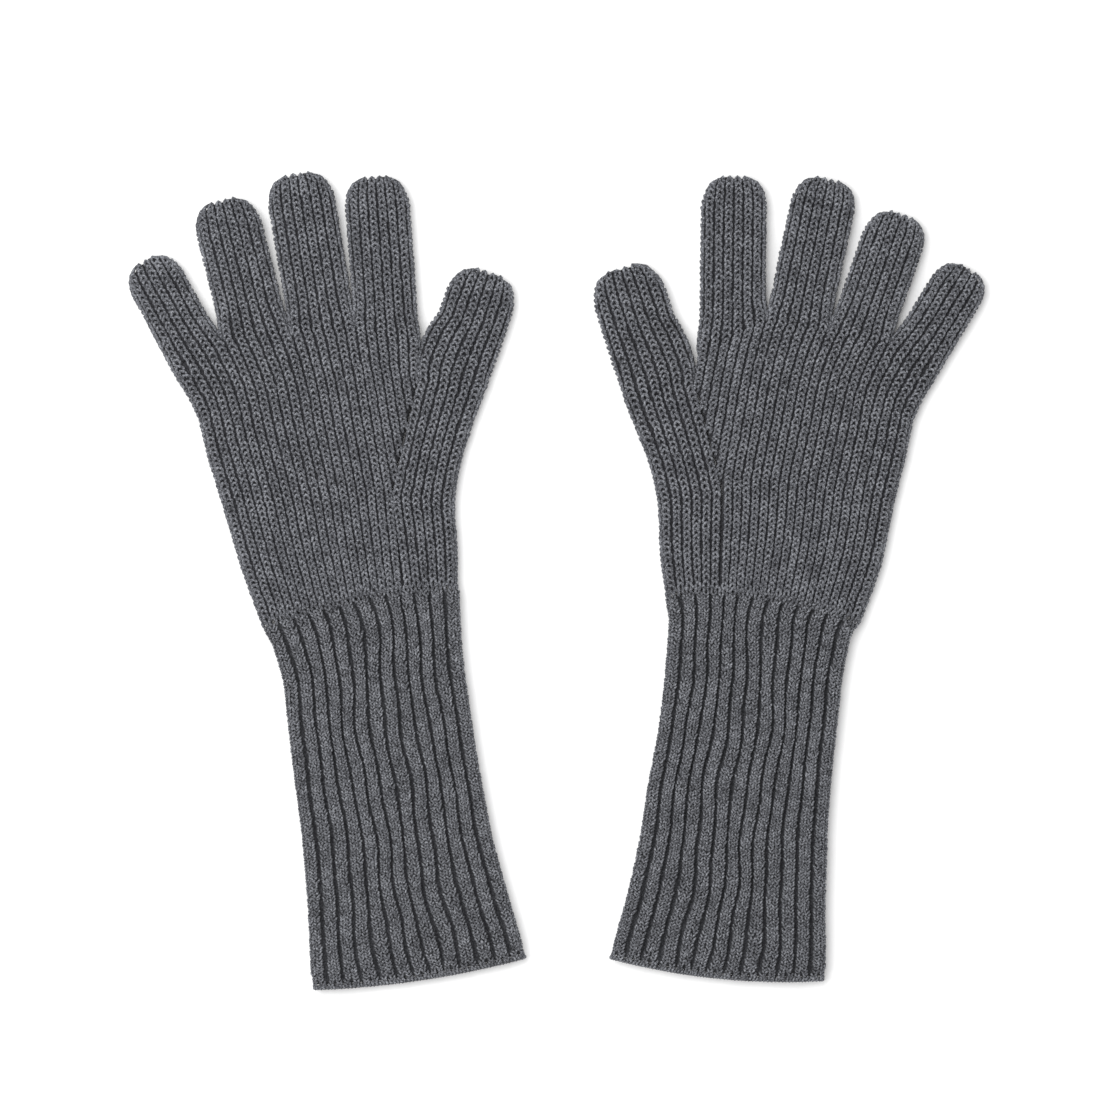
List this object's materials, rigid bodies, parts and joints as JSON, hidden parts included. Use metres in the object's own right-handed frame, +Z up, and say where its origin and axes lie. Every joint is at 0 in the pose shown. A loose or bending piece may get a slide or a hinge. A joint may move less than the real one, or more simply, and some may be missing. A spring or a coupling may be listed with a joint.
{
  "type": "knitted gloves",
  "caption": "Pair of heather-grey knitted gloves with long ribbed cuffs, lying flat side by side with fingers spread; each digit and cuff folds.",
  "frame": {"origin": "middle of the pair on the surface it lies on", "axes": "+Z up from the surface, +Y from the hems to the fingertips, +X from the left glove to the right glove"},
  "size_m": [0.3344, 0.3192, 0.0099],
  "materials": {
    "plain_knit": "matte heather wool, plain knit",
    "rib_knit": "matte heather wool, rib knit",
    "edge_knit": "matte heather wool, cast-on edge and join course"
  },
  "bodies": {
    "left_hand": {"left_hand": "plain_knit", "left_thumb_gusset": "plain_knit", "left_wrist_join": "edge_knit"},
    "left_cuff": {"left_cuff": "rib_knit", "left_cuff_edge": "edge_knit"},
    "left_little": {"left_little": "plain_knit"},
    "left_ring": {"left_ring": "plain_knit"},
    "left_middle": {"left_middle": "plain_knit"},
    "left_index": {"left_index": "plain_knit"},
    "left_thumb": {"left_thumb": "plain_knit"},
    "right_hand": {"right_hand": "plain_knit", "right_thumb_gusset": "plain_knit", "right_wrist_join": "edge_knit"},
    "right_cuff": {"right_cuff": "rib_knit", "right_cuff_edge": "edge_knit"},
    "right_little": {"right_little": "plain_knit"},
    "right_ring": {"right_ring": "plain_knit"},
    "right_middle": {"right_middle": "plain_knit"},
    "right_index": {"right_index": "plain_knit"},
    "right_thumb": {"right_thumb": "plain_knit"}
  },
  "joints": [
    {"name": "left_little_bend", "type": "hinge", "parent": "left_hand", "child": "left_little", "pos_m": [-0.14078, 0.08816, 0.0095], "axis": [0.8788, 0.4772, 0], "range_deg": [0, 90]},
    {"name": "left_ring_bend", "type": "hinge", "parent": "left_hand", "child": "left_ring", "pos_m": [-0.11719, 0.09528, 0.0095], "axis": [0.969, 0.247, 0], "range_deg": [0, 90]},
    {"name": "left_middle_bend", "type": "hinge", "parent": "left_hand", "child": "left_middle", "pos_m": [-0.09122, 0.09783, 0.0095], "axis": [0.9863, 0.165, 0], "range_deg": [0, 90]},
    {"name": "left_index_bend", "type": "hinge", "parent": "left_hand", "child": "left_index", "pos_m": [-0.0662, 0.09548, 0.0095], "axis": [0.9973, 0.0732, 0], "range_deg": [0, 90]},
    {"name": "left_thumb_bend", "type": "hinge", "parent": "left_hand", "child": "left_thumb", "pos_m": [-0.04107, 0.07592, 0.0095], "axis": [0.9483, -0.3173, 0], "range_deg": [0, 60]},
    {"name": "left_cuff_fold", "type": "hinge", "parent": "left_hand", "child": "left_cuff", "pos_m": [-0.07656, -0.01207, 0.0095], "axis": [-0.982, -0.1888, 0], "range_deg": [0, 80]},
    {"name": "right_little_bend", "type": "hinge", "parent": "right_hand", "child": "right_little", "pos_m": [0.13967, 0.0867, 0.0095], "axis": [0.8526, -0.5225, 0], "range_deg": [0, 90]},
    {"name": "right_ring_bend", "type": "hinge", "parent": "right_hand", "child": "right_ring", "pos_m": [0.11778, 0.09472, 0.0095], "axis": [0.9426, -0.3338, 0], "range_deg": [0, 90]},
    {"name": "right_middle_bend", "type": "hinge", "parent": "right_hand", "child": "right_middle", "pos_m": [0.09376, 0.09923, 0.0095], "axis": [0.9781, -0.2079, 0], "range_deg": [0, 90]},
    {"name": "right_index_bend", "type": "hinge", "parent": "right_hand", "child": "right_index", "pos_m": [0.06837, 0.09533, 0.0095], "axis": [0.9999, -0.0122, 0], "range_deg": [0, 90]},
    {"name": "right_thumb_bend", "type": "hinge", "parent": "right_hand", "child": "right_thumb", "pos_m": [0.03965, 0.07452, 0.0095], "axis": [0.9537, 0.3007, 0], "range_deg": [0, 60]},
    {"name": "right_cuff_fold", "type": "hinge", "parent": "right_hand", "child": "right_cuff", "pos_m": [0.08028, -0.01304, 0.0095], "axis": [-0.9908, 0.1353, 0], "range_deg": [0, 80]},
    {"name": "right_glove_slide", "type": "slide", "parent": "left_hand", "child": "right_hand", "axis": [1, 0, 0], "range_m": [0, 0.15]}
  ]
}
